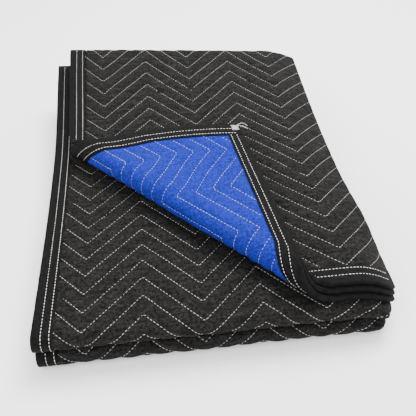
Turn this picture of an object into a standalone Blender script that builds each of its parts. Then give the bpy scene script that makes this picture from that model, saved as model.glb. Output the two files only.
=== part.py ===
# A quilted moving blanket, folded into a stack, with one front corner turned back.
# Units are metres, +Z is up, +X is right and +Y is the back. The origin is on the floor under the middle.
#
# The cloth is one solid. Two thick folds lie below, each with a round front. Three bound plies lie on them,
# a on top, then b and c, and the front-left corner of all three is turned back over a diagonal fold.
# Every point goes through settle(), which gives the stack its slope and unevenness.

import math

import bmesh
import bpy
from mathutils import Vector

# Overall sizes of the stack
STACK_LEFT = -0.229
STACK_RIGHT = 0.229
STACK_BACK = 0.290
UPPER_FRONT = -0.2935
LOWER_FRONT = -0.2960

# A ply and the hem at its edge, where it is thinner and the binding lies over it
PLY_HALF = 0.0034
HEM_HALF = 0.0018
HEM_WIDTH = 0.0274
HEM_SLOPE = 0.0008
HEM_CATCH = 0.0004
BINDING_WIDTH = 0.0260
BINDING_THICKNESS = 0.0010
BINDING_GAP = 0.0006

# The two lower folds, each an outer ply wrapped round an inner one: middle height and half height
LOWER_MIDDLE = 0.0154
LOWER_HALF = 0.0154
UPPER_MIDDLE = 0.0476
UPPER_HALF = 0.0154
OUTER_PLY_RADIUS = 0.0118
INNER_PLY_RADIUS = 0.0038
FOLD_END_SHARE = 0.7
SLIT_BACK = 0.0160
SLIT_SIDE = 0.006
FOLD_TAPE_BACK = 0.0175

# The three plies on top: name, middle height, front hem, middle radius in the turned corner, and the length
# of cloth that the turn takes up
PLIES = (
    {"name": "a", "height": 0.0840, "front": -0.2640, "radius": 0.0050, "turn": 0.0360},
    {"name": "b", "height": 0.0760, "front": -0.2700, "radius": 0.0130, "turn": 0.0500},
    {"name": "c", "height": 0.0680, "front": -0.2760, "radius": 0.0210, "turn": 0.0636},
)
TOP_LEFT = -0.200
TURN_AXIS_HEIGHT = 0.0890
TURN_AXIS_SUM = -0.1215
FLAP_LEAN = 0.176
TONGUE = 0.012
TURN_INSET = 0.0010
TURN_THINNER = 0.0004
TURN_HEM_SLOPE = 0.0022
FLAP_START = 0.0021
FLAP_LOW_MARGIN = 0.0035
FLAP_LIFT = 0.0045
FLAP_LIFT_LENGTH = 0.16
FLAP_PLAIN = (-0.16, 0.10, 7)
FLAP_PLAIN_ROWS = (-0.050, -0.130)
PLY_BACK = 0.006
PLY_TAPE_BACK = 0.008
PLY_TAPE_RIGHT = 0.0050
PLY_TAPE_STATIONS = 12
FRONT_TAPE_STATIONS = 4
TAPE_CORNER_ROOM = 0.002
HEM_SETBACK = 1.45

# What joins the layers out of sight: the strips inside the back, and the swelling where the round fronts meet
BACK_TURNS = (
    {"name": "lower_turn", "low": 0.0100, "high": 0.0540, "front": 0.2450, "back": 0.2930, "radius": 0.0200,
     "left": -0.2005, "right": 0.2150},
    {"name": "upper_turn", "low": 0.0500, "high": 0.0838, "front": 0.2560, "back": 0.2950, "radius": 0.0130,
     "left": -0.1715, "right": 0.2200},
)
FRONT_JOIN = {"middle": (0.200, -0.2700, 0.0315), "size": (0.020, 0.0225, 0.017)}

# Quilting: zigzag rows of stitching, sunk below the padding between them
ZIGZAG_STEP = 0.0775
ROW_PITCH = 0.0293
QUILT_DEPTH = 0.0024
COVERED_Y = 0.06
COVERED_SHARE = 2
TURN_STEPS = 6
FRONT_STEPS = 6
TOP_VALLEY_X = 0.0130
TOP_ROW_Y = -0.2370
LOWER_VALLEY_X = -0.0140
LOWER_ROW_Y = -0.1665

# Slope of the stack and its unevenness
TOP_HEIGHT = 0.0874
RISE_LEFT = 0.062
RISE_RIGHT = 0.021
RISE_START = 0.038
RISE_END = 0.380
SLOPE_PLACES = (-0.16, -0.06, 0.030, 0.0785, 0.113, 0.148, 0.183, 0.218, 0.253)
SLOPE_ROOM = 0.004
DROOP = 0.011
DROOP_START = 0.205
WAVE_HEIGHT = 0.0012
SWAY = 0.0022
SWAY_LEFT_SHARE = 0.6

# Brings the middle of the settled stack over the origin
CENTRE_X = 0.0015
CENTRE_Y = 0.0005

CHARCOAL = (0.034, 0.032, 0.030, 1.0)
BLACK = (0.017, 0.017, 0.018, 1.0)


def smooth(value):
    value = min(1.0, max(0.0, value))
    return value * value * (3.0 - 2.0 * value)


def settle(x, y, z):
    """Lifts the stack towards its back-left corner, lets its right edge droop and makes it a little uneven.

    Heights are scaled from the floor, which stays flat.
    """
    across = (x - STACK_LEFT) / (STACK_RIGHT - STACK_LEFT)
    climb = smooth((y - RISE_START) / (RISE_END - RISE_START))
    rise = (RISE_LEFT + (RISE_RIGHT - RISE_LEFT) * across) * climb
    droop = DROOP * max(0.0, (x - DROOP_START) / (STACK_RIGHT - DROOP_START))
    wave = WAVE_HEIGHT * math.sin(13.0 * y + 5.0 * x) * math.cos(9.0 * x - 4.0 * y)
    height = z * (1.0 + (rise - droop + wave) / TOP_HEIGHT)
    sway = SWAY * math.sin(9.0 * y + 30.0 * z)
    return Vector((x + sway * (1.0 - SWAY_LEFT_SHARE * across) + CENTRE_X, y + CENTRE_Y, height))


def zigzag(x, valley):
    """Offset of a stitched row along Y, nothing at a valley column and one step at a peak column."""
    turn = abs((x - valley) / ZIGZAG_STEP) % 2.0
    return ZIGZAG_STEP * (turn if turn <= 1.0 else 2.0 - turn)


def sunk(x, y, valley, row_y):
    """How far the quilted face lies below its padding at a point."""
    phase = (y - row_y - zigzag(x, valley)) / ROW_PITCH
    return QUILT_DEPTH * abs(math.cos(math.pi * phase))


def row_places(x, low, high, valley, row_y):
    """Y places of the stitched rows and the padding between them at a column, held between two limits."""
    half = ROW_PITCH / 2.0
    first = math.floor((low - row_y - ZIGZAG_STEP) / half) - 1
    last = math.ceil((high - row_y) / half) + 1
    return [row_y + zigzag(x, valley) + index * half for index in range(first, last + 1)]


def thinned(places, x, valley):
    """Leaves out most rows of the lower folds where the plies on top cover them."""
    kept = []
    for index, place in enumerate(places):
        if place - zigzag(x, valley) < COVERED_Y or index % COVERED_SHARE == 0 or index == len(places) - 1:
            kept.append(place)
    return kept


def spread(low, high, count):
    return [low + (high - low) * index / (count - 1) for index in range(count)]


def slope_places(low, high):
    """Y places that every plain face and tape shares, closest where the stack bends upwards."""
    inside = [place for place in SLOPE_PLACES if low + SLOPE_ROOM < place < high - SLOPE_ROOM]
    return [low] + inside + [high]


def new_collection(name):
    collection = bpy.data.collections.new(name)
    bpy.context.scene.collection.children.link(collection)
    return collection


def paint(name, colour, roughness):
    material = bpy.data.materials.new(name)
    material.use_nodes = True
    shader = material.node_tree.nodes["Principled BSDF"]
    shader.inputs["Base Color"].default_value = colour
    shader.inputs["Roughness"].default_value = roughness
    material.diffuse_color = colour
    return material


def loft(name, rings, collection, ladder=False):
    """A closed solid through rings, which have the same number of points in the same order."""
    shape = bmesh.new()
    grid = [[shape.verts.new(settle(*point)) for point in ring] for ring in rings]
    count = len(rings[0])
    for near, far in zip(grid, grid[1:]):
        for index in range(count):
            after = (index + 1) % count
            shape.faces.new((near[index], near[after], far[after], far[index]))
    for ring in (grid[0], grid[-1]):
        if not ladder:
            shape.faces.new(ring)
            continue
        for index in range(count // 2 - 1):
            mate = count - 1 - index
            shape.faces.new((ring[index], ring[index + 1], ring[mate - 1], ring[mate]))
    bmesh.ops.remove_doubles(shape, verts=shape.verts, dist=0.00002)
    bmesh.ops.dissolve_degenerate(shape, edges=shape.edges, dist=0.00001)
    bmesh.ops.triangulate(shape, faces=shape.faces)
    bmesh.ops.recalc_face_normals(shape, faces=shape.faces)
    mesh = bpy.data.meshes.new(name)
    shape.to_mesh(mesh)
    shape.free()
    piece = bpy.data.objects.new(name, mesh)
    collection.objects.link(piece)
    return piece


def arc(centre_y, centre_z, radius, start, end, steps):
    """Points (y, z) on an arc; angle 0 is up and 90 degrees is towards the front."""
    points = []
    for index in range(steps + 1):
        angle = math.radians(start + (end - start) * index / steps)
        points.append((centre_y - radius * math.sin(angle), centre_z + radius * math.cos(angle)))
    return points


def section_columns(left, quilted, valley):
    """X places of the sections: the side hem, and the columns where the zigzag rows turn."""
    columns = {left, left + HEM_WIDTH, left + HEM_WIDTH + HEM_SLOPE, DROOP_START}
    if quilted:
        columns.update(valley + ZIGZAG_STEP * turn for turn in (-2, -1, 0, 1, 2))
        columns.update(spread(-0.105, 0.125, 3))
    else:
        columns.update(spread(-0.115, 0.155, 4))
    return columns


def round_right(half):
    """Extra sections (x, share of the height) that close a fold's right edge."""
    return [(STACK_RIGHT - half * (1.0 - math.sin(angle)), math.cos(angle))
            for angle in (0.0, 0.5, 0.95, 1.3)]


def lower_fold(name, middle, half, front, quilted, collection):
    """One of the two thick folds, with its round front and back."""
    centre_y = front + half
    back_y = STACK_BACK - half
    columns = sorted(section_columns(STACK_LEFT, quilted, LOWER_VALLEY_X))
    sections = [(x, 1.0) for x in columns if x < STACK_RIGHT - half - 0.002] + round_right(half)
    rings = []
    for x, share in sections:
        in_hem = x < STACK_LEFT + HEM_WIDTH + HEM_CATCH
        inset = half - OUTER_PLY_RADIUS - HEM_HALF if in_hem else 0.0
        size = half * share - inset
        ends = half * (1.0 - share) * FOLD_END_SHARE
        ring = []
        if quilted:
            places = row_places(x, centre_y, back_y, LOWER_VALLEY_X, LOWER_ROW_Y)
            places = thinned(places, x, LOWER_VALLEY_X)
        else:
            places = slope_places(centre_y, back_y)
        for y in reversed(places):
            held = min(back_y - ends, max(centre_y + ends, y))
            depth = 0.0
            if quilted and held == y and inset == 0.0:
                depth = sunk(x, y, LOWER_VALLEY_X, LOWER_ROW_Y) * share
            ring.append((x, held, middle + size - depth))
        for y, z in arc(centre_y + ends, middle, size, 0.0, 180.0, FRONT_STEPS):
            ring.append((x, y, z))
        for y in slope_places(centre_y + ends, back_y - ends):
            ring.append((x, y, middle - size))
        for y, z in arc(back_y - ends, middle, size, 180.0, 360.0, 4):
            ring.append((x, y, z))
        rings.append(ring)
    return loft(name, rings, collection)


def ply_front(ply, x):
    """Front end of a top ply: the turn's axis on the left, the hem on the right."""
    return max(ply["front"], TURN_AXIS_SUM - x)


def top_ply(ply, collection):
    """The flat part of a top ply, from the turn's axis and the front hem to the back."""
    quilted = ply["name"] == "a"
    corner = TURN_AXIS_SUM - ply["front"]
    columns = section_columns(TOP_LEFT, quilted, TOP_VALLEY_X)
    columns.update((corner - HEM_WIDTH - HEM_SLOPE, corner - HEM_WIDTH, corner))
    sections = [(x, 1.0) for x in sorted(columns) if x < STACK_RIGHT - 0.004] + round_right(PLY_HALF)
    back_y = STACK_BACK - PLY_BACK
    rings = []
    for x, share in sections:
        side_hem = x < TOP_LEFT + HEM_WIDTH + HEM_CATCH
        front = ply_front(ply, x)
        front_hem = x > corner - HEM_WIDTH - HEM_CATCH
        front_half = (HEM_HALF if front_hem or side_hem else PLY_HALF) * share
        body_half = (HEM_HALF if side_hem else PLY_HALF) * share
        start = front + front_half * (1.0 if x > corner - 0.0001 else HEM_SETBACK)
        ring = []
        if quilted:
            places = row_places(x, ply["front"], back_y, TOP_VALLEY_X, TOP_ROW_Y)
        else:
            places = slope_places(ply["front"], back_y)
        hem_end = max(ply["front"] + HEM_WIDTH, start + 0.0005)
        for y in reversed(places):
            if y <= hem_end + 0.004:
                continue_at = hem_end + HEM_SLOPE
            else:
                continue_at = min(back_y, y)
            depth = 0.0
            if continue_at == back_y:
                depth = QUILT_DEPTH * share
            elif quilted and continue_at == y and not side_hem:
                depth = sunk(x, y, TOP_VALLEY_X, TOP_ROW_Y) * share
            ring.append((x, continue_at, ply["height"] + body_half - depth))
        ring.append((x, hem_end, ply["height"] + front_half))
        for y, z in arc(start, ply["height"], front_half, 0.0, 180.0, 4):
            ring.append((x, y, z))
        ring.append((x, hem_end, ply["height"] - front_half))
        for y in slope_places(ply["front"], back_y):
            held = hem_end + HEM_SLOPE if y <= hem_end + 0.004 else y
            ring.append((x, held, ply["height"] - body_half))
        rings.append(ring)
    return loft("ply_" + ply["name"], rings, collection)


def turn_point(ply, along, past, out):
    """A point of a ply near the turned corner.

    along runs with the turn's axis, past is the cloth's length beyond the axis, and out is the distance from
    the ply's middle, outwards from the turn.
    """
    diagonal = math.sqrt(0.5)
    axis_x = along * diagonal
    axis_y = TURN_AXIS_SUM - along * diagonal
    if past <= 0.0:
        return (axis_x - past * diagonal, axis_y - past * diagonal, ply["height"] - out)
    if past < ply["turn"]:
        angle = math.pi * past / ply["turn"]
        reach = (ply["radius"] + out) * math.sin(angle) * diagonal
        height = TURN_AXIS_HEIGHT - (ply["radius"] + out) * math.cos(angle)
        return (axis_x - reach, axis_y - reach, height)
    rest = past - ply["turn"]
    height = TURN_AXIS_HEIGHT + ply["radius"] + out
    return (axis_x + rest * (diagonal - FLAP_LEAN), axis_y + rest * diagonal, height + flap_lift(rest))


def flap_lift(rest):
    """The turned corner bows up a little towards its free end."""
    return FLAP_LIFT * smooth(rest / FLAP_LIFT_LENGTH)


def turn_steps(ply):
    return [ply["turn"] * index / TURN_STEPS for index in range(TURN_STEPS + 1)]


def side_along(past, inward):
    return (TOP_LEFT + inward) * math.sqrt(2.0) + past


def front_along(ply, past, inward):
    return (TURN_AXIS_SUM - ply["front"] - inward) * math.sqrt(2.0) - past


def turn_strip(ply, collection):
    """The bent part of a ply, with a tongue at each end that reaches into the flat parts."""
    places = [-TONGUE] + turn_steps(ply) + [ply["turn"] + TONGUE]
    columns = [("side", 0.0), ("side", HEM_WIDTH), ("side", HEM_WIDTH + TURN_HEM_SLOPE)]
    columns += [("middle", share) for share in spread(0.1, 0.9, 6)]
    columns += [("front", HEM_WIDTH + TURN_HEM_SLOPE), ("front", HEM_WIDTH), ("front", 0.0)]
    rings = []
    for kind, value in columns:
        hem = kind != "middle" and value < HEM_WIDTH + HEM_CATCH
        outer = []
        inner = []
        for past in places:
            left = side_along(past, HEM_WIDTH + TURN_HEM_SLOPE)
            right = front_along(ply, past, HEM_WIDTH + TURN_HEM_SLOPE)
            inward = max(value, TURN_INSET)
            if kind == "side":
                along = side_along(past, inward)
            elif kind == "front":
                along = front_along(ply, past, inward)
            else:
                along = left + (right - left) * value
            thick = (HEM_HALF if hem else PLY_HALF) - TURN_THINNER
            outer.append(turn_point(ply, along, past, thick))
            inner.append(turn_point(ply, along, past, -thick))
        rings.append(outer + list(reversed(inner)))
    return loft("turn_" + ply["name"], rings, collection, ladder=True)


def flap_ply(ply, collection):
    """The turned-back part of a ply: sections along X, one for each place in Y."""
    quilted = ply["name"] == "c"
    root = math.sqrt(2.0)
    mirror = TURN_AXIS_SUM - ply["turn"] / root
    edge_y = mirror - TOP_LEFT
    right = mirror - ply["front"]
    first_sum = TURN_AXIS_SUM + FLAP_START
    low_y = first_sum - right + FLAP_LOW_MARGIN
    hem_y = first_sum - right + HEM_WIDTH
    columns = {edge_y, edge_y - HEM_WIDTH, edge_y - HEM_WIDTH - HEM_SLOPE, hem_y, low_y}
    for turn in (-2, -1, 0, 1, 2):
        place = mirror - (TOP_VALLEY_X + ZIGZAG_STEP * turn)
        if low_y < place < edge_y - HEM_WIDTH - 0.002:
            columns.add(place)
    columns.update(FLAP_PLAIN_ROWS)
    height = TURN_AXIS_HEIGHT + ply["radius"]
    rings = []
    for y in sorted(columns, reverse=True):
        top_hem = y > edge_y - HEM_WIDTH - HEM_CATCH
        start = first_sum - y
        hem_start = max(start + 0.0002, right - HEM_WIDTH)
        width = right - start
        body_half = HEM_HALF if top_hem or width < HEM_WIDTH + HEM_CATCH else PLY_HALF
        if quilted:
            rows = row_places(mirror - y, ply["front"], 0.0, TOP_VALLEY_X, TOP_ROW_Y)
            places = [mirror - row for row in reversed(rows)]
        else:
            places = spread(*FLAP_PLAIN)
        upper = [(start, body_half)]
        for x in places:
            held = min(max(start, x), hem_start - 0.0001)
            depth = 0.0
            if quilted and held == x and not top_hem and width > HEM_WIDTH * 1.6:
                depth = sunk(mirror - y, mirror - x, TOP_VALLEY_X, TOP_ROW_Y)
            upper.append((held, body_half - depth))
        upper.append((hem_start, HEM_HALF))
        upper.append((right - HEM_HALF, HEM_HALF))
        upper.append((right - HEM_HALF * 0.3, HEM_HALF * 0.7))
        lower = [(start, -body_half)]
        for x in spread(*FLAP_PLAIN):
            held = min(max(start, x), hem_start - 0.0001)
            lower.append((held, -body_half))
        lower.append((hem_start, -HEM_HALF))
        lower.append((right - HEM_HALF, -HEM_HALF))
        lower.append((right - HEM_HALF * 0.3, -HEM_HALF * 0.7))
        ring = []
        for x, out in upper + list(reversed(lower)):
            rest = (x + y - TURN_AXIS_SUM) / root
            ring.append((x - FLAP_LEAN * rest, y, height + out + flap_lift(rest)))
        rings.append(ring)
    return loft("flap_" + ply["name"], rings, collection)


def back_fold(turn, collection):
    """A rounded strip inside the back of the stack, where one layer turns into the next."""
    low, high, radius = turn["low"], turn["high"], turn["radius"]
    centre_y = turn["back"] - radius
    rings = []
    for x in spread(turn["left"], turn["right"], 6):
        ring = [(x, turn["front"], low), (x, turn["front"], high)]
        for y, z in arc(centre_y, high - radius, radius, 0.0, -90.0, 4):
            ring.append((x, y, z))
        for y, z in arc(centre_y, low + radius, radius, -90.0, -180.0, 2):
            ring.append((x, y, z))
        rings.append(ring)
    return loft(turn["name"], rings, collection)


def side_slit(name, middle, front_y, outer, inner, collection):
    """The room between two plies at the left edge: a U between two radii, or a flat slab if inner is 0."""
    back_y = STACK_BACK - SLIT_BACK
    rings = []
    for x in (STACK_LEFT - SLIT_SIDE, STACK_LEFT + HEM_WIDTH):
        straight = slope_places(front_y, back_y)[::-1]
        ring = [(x, y, middle + outer) for y in straight]
        ring += [(x, y, z) for y, z in arc(front_y, middle, outer, 0.0, 180.0, FRONT_STEPS)[1:-1]]
        ring += [(x, y, middle - outer) for y in reversed(straight)]
        if inner > 0.0:
            ring += [(x, y, middle - inner) for y in straight]
            bend = arc(front_y, middle, inner, 0.0, 180.0, FRONT_STEPS)[1:-1]
            ring += [(x, y, z) for y, z in reversed(bend)]
            ring += [(x, y, middle + inner) for y in reversed(straight)]
        rings.append(ring)
    return loft(name, rings, collection)


def binding_section():
    """The folded tape: distance from the hem's edge inwards, and distance from the ply's middle."""
    inner = HEM_HALF + BINDING_GAP
    outer = inner + BINDING_THICKNESS
    edge = -BINDING_GAP
    return [(BINDING_WIDTH, outer), (edge - BINDING_THICKNESS, outer), (edge - BINDING_THICKNESS, -outer),
            (BINDING_WIDTH, -outer), (BINDING_WIDTH, -inner), (edge, -inner), (edge, inner),
            (BINDING_WIDTH, inner)]


def turned_binding(name, ply, side, collection):
    """The tape on one hem of a top ply: its flat part, the turn and the turned-back part.

    Sections run with the turn's axis in the turn, so that each meets it at one angle. Elsewhere they are
    square.
    """
    root = math.sqrt(2.0)
    corner_x = TURN_AXIS_SUM - ply["front"]
    last = (corner_x - TOP_LEFT) / root
    if side == "side":
        reach = STACK_BACK - PLY_TAPE_BACK - (TURN_AXIS_SUM - TOP_LEFT)
        flat = spread(reach, 0.0, PLY_TAPE_STATIONS)[:-1]
    else:
        flat = [STACK_RIGHT - PLY_TAPE_RIGHT - corner_x]
        flat += spread(DROOP_START - corner_x, 0.0, FRONT_TAPE_STATIONS)[:-1]
        last -= (BINDING_WIDTH + TAPE_CORNER_ROOM) / root
    stations = [(-reach / root, False) for reach in flat]
    stations += [(place, True) for place in turn_steps(ply)]
    stations += [(place, False) for place in spread(ply["turn"], last, 10)[1:]]
    rings = []
    for place, skewed in stations:
        ring = []
        for inward, out in binding_section():
            past = place if skewed else place - inward / root
            if side == "side":
                along = side_along(past, inward)
            else:
                along = front_along(ply, past, inward)
            ring.append(turn_point(ply, along, past, out))
        rings.append(ring)
    return loft(name, rings, collection)


def fold_binding(name, middle, front_y, radius, collection):
    """The tape along the left edge of a lower fold: over, round the front and back underneath."""
    back_y = STACK_BACK - FOLD_TAPE_BACK
    straight = slope_places(front_y, back_y)[::-1]
    path = [(y, middle, 1.0, 0.0) for y in straight[:-1]]
    for index in range(FRONT_STEPS + 1):
        angle = math.pi * index / FRONT_STEPS
        path.append((front_y, middle, math.cos(angle), math.sin(angle)))
    path += [(y, middle, -1.0, 0.0) for y in reversed(straight[:-1])]
    rings = []
    for y, z, up, forward in path:
        ring = []
        for inward, out in binding_section():
            reach = radius + out
            ring.append((STACK_LEFT + inward, y - reach * forward, z + reach * up))
        rings.append(ring)
    return loft(name, rings, collection)


def front_join(collection):
    """Where the two round fronts run into each other at the right."""
    bpy.ops.mesh.primitive_uv_sphere_add(segments=16, ring_count=8, radius=1.0)
    piece = bpy.context.object
    piece.name = "front_join"
    for vertex in piece.data.vertices:
        place = [middle + size * value
                 for middle, size, value in zip(FRONT_JOIN["middle"], FRONT_JOIN["size"], vertex.co)]
        vertex.co = settle(*place)
    for owner in list(piece.users_collection):
        owner.objects.unlink(piece)
    collection.objects.link(piece)
    return piece


def combine(body, other, operation):
    step = body.modifiers.new(operation.lower() + "_" + other.name, "BOOLEAN")
    step.operation = operation
    step.solver = "EXACT"
    step.object = other


def as_helper(piece):
    piece.hide_render = True
    piece.display_type = "WIRE"


def build_cloth(blanket, helpers):
    body = lower_fold("blanket_cloth", UPPER_MIDDLE, UPPER_HALF, UPPER_FRONT, True, blanket)
    joined = [lower_fold("lower_fold", LOWER_MIDDLE, LOWER_HALF, LOWER_FRONT, False, helpers)]
    joined.append(back_fold(BACK_TURNS[0], helpers))
    joined.append(front_join(helpers))
    for ply in reversed(PLIES):
        joined.append(top_ply(ply, helpers))
    joined.append(back_fold(BACK_TURNS[1], helpers))
    for ply in PLIES:
        joined.append(turn_strip(ply, helpers))
        joined.append(flap_ply(ply, helpers))
    for piece in joined:
        as_helper(piece)
        combine(body, piece, "UNION")
    for name, middle, front, half in (("upper", UPPER_MIDDLE, UPPER_FRONT, UPPER_HALF),
                                      ("lower", LOWER_MIDDLE, LOWER_FRONT, LOWER_HALF)):
        centre = front + half
        outer = side_slit(name + "_outer_slit", middle, centre, OUTER_PLY_RADIUS - HEM_HALF,
                          INNER_PLY_RADIUS + HEM_HALF, helpers)
        inner = side_slit(name + "_inner_slit", middle, centre, INNER_PLY_RADIUS - HEM_HALF, 0.0, helpers)
        for piece in (outer, inner):
            as_helper(piece)
            combine(body, piece, "DIFFERENCE")
    body.data.materials.append(paint("charcoal_cloth", CHARCOAL, 0.95))


def build_bindings(blanket):
    pieces = []
    for ply in PLIES:
        for side in ("side", "front"):
            pieces.append(turned_binding("binding_ply_" + ply["name"] + "_" + side, ply, side, blanket))
    for name, middle, front, half in (("upper", UPPER_MIDDLE, UPPER_FRONT, UPPER_HALF),
                                      ("lower", LOWER_MIDDLE, LOWER_FRONT, LOWER_HALF)):
        for place, radius in (("outer", OUTER_PLY_RADIUS), ("inner", INNER_PLY_RADIUS)):
            tape = "binding_" + name + "_" + place
            pieces.append(fold_binding(tape, middle, front + half, radius, blanket))
    for piece in pieces:
        piece.data.materials.append(paint(piece.name + "_tape", BLACK, 0.7))


def main():
    for item in list(bpy.data.objects):
        bpy.data.objects.remove(item)
    blanket = new_collection("moving_blanket")
    helpers = new_collection("moving_blanket_helpers")
    build_cloth(blanket, helpers)
    build_bindings(blanket)


main()
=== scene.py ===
import math

import bpy
import numpy as np
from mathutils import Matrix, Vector, noise


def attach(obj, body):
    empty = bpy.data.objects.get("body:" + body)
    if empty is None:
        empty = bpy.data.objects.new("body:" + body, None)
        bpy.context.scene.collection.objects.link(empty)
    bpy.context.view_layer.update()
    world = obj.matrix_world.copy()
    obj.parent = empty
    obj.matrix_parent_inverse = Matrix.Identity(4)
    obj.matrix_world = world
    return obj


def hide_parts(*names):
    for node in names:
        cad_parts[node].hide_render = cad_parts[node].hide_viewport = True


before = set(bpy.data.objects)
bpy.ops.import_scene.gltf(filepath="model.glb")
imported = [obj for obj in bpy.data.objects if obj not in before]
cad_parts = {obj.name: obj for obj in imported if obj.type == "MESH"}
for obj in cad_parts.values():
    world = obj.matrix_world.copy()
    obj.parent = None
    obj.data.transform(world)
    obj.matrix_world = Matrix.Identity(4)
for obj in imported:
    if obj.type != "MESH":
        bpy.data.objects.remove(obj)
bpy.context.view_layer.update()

# Sizes, in metres

# the stack before it settles, with the same sizes as its solids
stack = {
    "left": -0.229, "right": 0.229, "back": 0.290,
    "upperFront": -0.2935, "lowerFront": -0.2960,
    "plyHalf": 0.0034, "hemHalf": 0.0018, "hemWidth": 0.0274,
    "lowerMiddle": 0.0154, "upperMiddle": 0.0476, "foldHalf": 0.0154,
    "outerRadius": 0.0118, "innerRadius": 0.0038,
    "topLeft": -0.200, "axisHeight": 0.0890, "axisSum": -0.1215,
}
plies = {
    "A": {"height": 0.084, "front": -0.264, "radius": 0.005, "turn": 0.0360, "back": 0.2755, "roll": 2.35},
    "B": {"height": 0.076, "front": -0.270, "radius": 0.013, "turn": 0.0500, "back": 0.2710, "roll": 0.0},
    "C": {"height": 0.068, "front": -0.276, "radius": 0.021, "turn": 0.0636, "back": 0.2710, "roll": 0.0},
}
quilting = {
    "step": 0.0775, "pitch": 0.0293, "depth": 0.0024, "crown": 2.1,
    "topValley": 0.0130, "topRow": -0.2370, "lowerValley": -0.0140, "lowerRow": -0.1665,
}
# how the stack lies: the solids rise in the same way, but droop and spread less at the right
slope = {
    "topHeight": 0.0874, "left": 0.062, "right": 0.021, "start": 0.038, "end": 0.380,
    "wave": 0.0012, "waveTurns": (13.0, 5.0, 9.0, 4.0), "centreX": 0.0015, "centreY": 0.0005,
    "sway": 0.0022, "swayTurns": (9.0, 30.0), "stillRight": 0.6,
    "droop": 0.0165, "droopFrom": 0.165, "droopBend": 1.8,
}
frontCorner = {
    "widerBelow": 0.007, "widerAbove": 0.0095, "widerFromX": 0.10, "widerReachX": 0.12,
    "widerFromY": -0.02, "widerReachY": 0.24, "right": 0.2313, "front": -0.120, "reach": 0.110,
    "droop": 0.0180, "droopFrom": 0.178, "droopBend": 1.7,
    "round": 0.0100, "roundFrom": 0.211, "roundBend": 2.4,
}
root2 = math.sqrt(2.0)
diagonal = math.sqrt(0.5)


def smooth(value):
    value = np.clip(value, 0.0, 1.0)
    return value * value * (3.0 - 2.0 * value)


def between(value, start, end):
    return np.clip((value - start) / (end - start), 0.0, 1.0)


def settle(x, y, z):
    # lifts the stack towards its back-left corner and lets the right edge droop; the floor stays flat
    across = (x - stack["left"]) / (stack["right"] - stack["left"])
    climb = smooth((y - slope["start"]) / (slope["end"] - slope["start"]))
    rise = (slope["left"] + (slope["right"] - slope["left"]) * across) * climb
    a, b, c, d = slope["waveTurns"]
    wave = slope["wave"] * np.sin(a * y + b * x) * np.cos(c * x - d * y)
    edge = np.maximum(x - slope["droopFrom"], 0.0) / (stack["right"] - slope["droopFrom"])
    droop = slope["droop"] * edge ** slope["droopBend"]

    # the front right corner droops further, is rounded, and lies wider
    atFront = smooth((frontCorner["front"] - y) / frontCorner["reach"])
    lower = between(x, frontCorner["droopFrom"], frontCorner["right"]) ** frontCorner["droopBend"]
    droop = droop + frontCorner["droop"] * lower * atFront
    rounder = between(x, frontCorner["roundFrom"], frontCorner["right"]) ** frontCorner["roundBend"]
    inward = frontCorner["round"] * rounder * atFront
    wider = frontCorner["widerBelow"] + frontCorner["widerAbove"] * z / slope["topHeight"]
    wider = wider * smooth((x - frontCorner["widerFromX"]) / frontCorner["widerReachX"])
    wider = wider * smooth((frontCorner["widerFromY"] - y) / frontCorner["widerReachY"])

    turnY, turnZ = slope["swayTurns"]
    still = slope["stillRight"]
    sway = slope["sway"] * np.sin(turnY * y + turnZ * z) + wider
    return np.stack([x + sway * (1.0 - still * across) + still * across * wider + slope["centreX"],
                     y + slope["centreY"] + inward,
                     z * (1.0 + (rise - droop + wave) / slope["topHeight"])], axis=-1)


def zigzag(x, valley):
    turn = np.abs((x - valley) / quilting["step"]) % 2.0
    return quilting["step"] * np.where(turn <= 1.0, turn, 2.0 - turn)


def sunk(x, y, valley, row):
    # depth of the quilted face under its padding: a tight groove at the thread, a flat crown between
    phase = (y - row - zigzag(x, valley)) / quilting["pitch"]
    away = np.abs(phase - np.round(phase)) * 2.0
    return quilting["depth"] * (1.0 - away) ** quilting["crown"]


def grain(x, y, size, seed):
    # smooth unevenness from -1 to 1, the same on every run
    flatX, flatY = np.ravel(x), np.ravel(y)
    values = [noise.noise(Vector((a / size, b / size, seed))) for a, b in zip(flatX, flatY)]
    return np.array(values).reshape(np.shape(x))


creaseCurl = {"size": 0.12, "bend": 2.2}


def creases(x, y, marks):
    # short soft ridges and dents: place, length, width, direction and height of each
    total = np.zeros(np.broadcast(x, y).shape)
    for place, length, width, degrees, height in marks:
        turn = math.radians(degrees)
        along = (x - place[0]) * math.cos(turn) + (y - place[1]) * math.sin(turn)
        across = (y - place[1]) * math.cos(turn) - (x - place[0]) * math.sin(turn)
        across = across + creaseCurl["size"] * length * np.sin(along / length * creaseCurl["bend"])
        total += height * np.exp(-(along / length) ** 2 - (across / width) ** 2)
    return total


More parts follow.
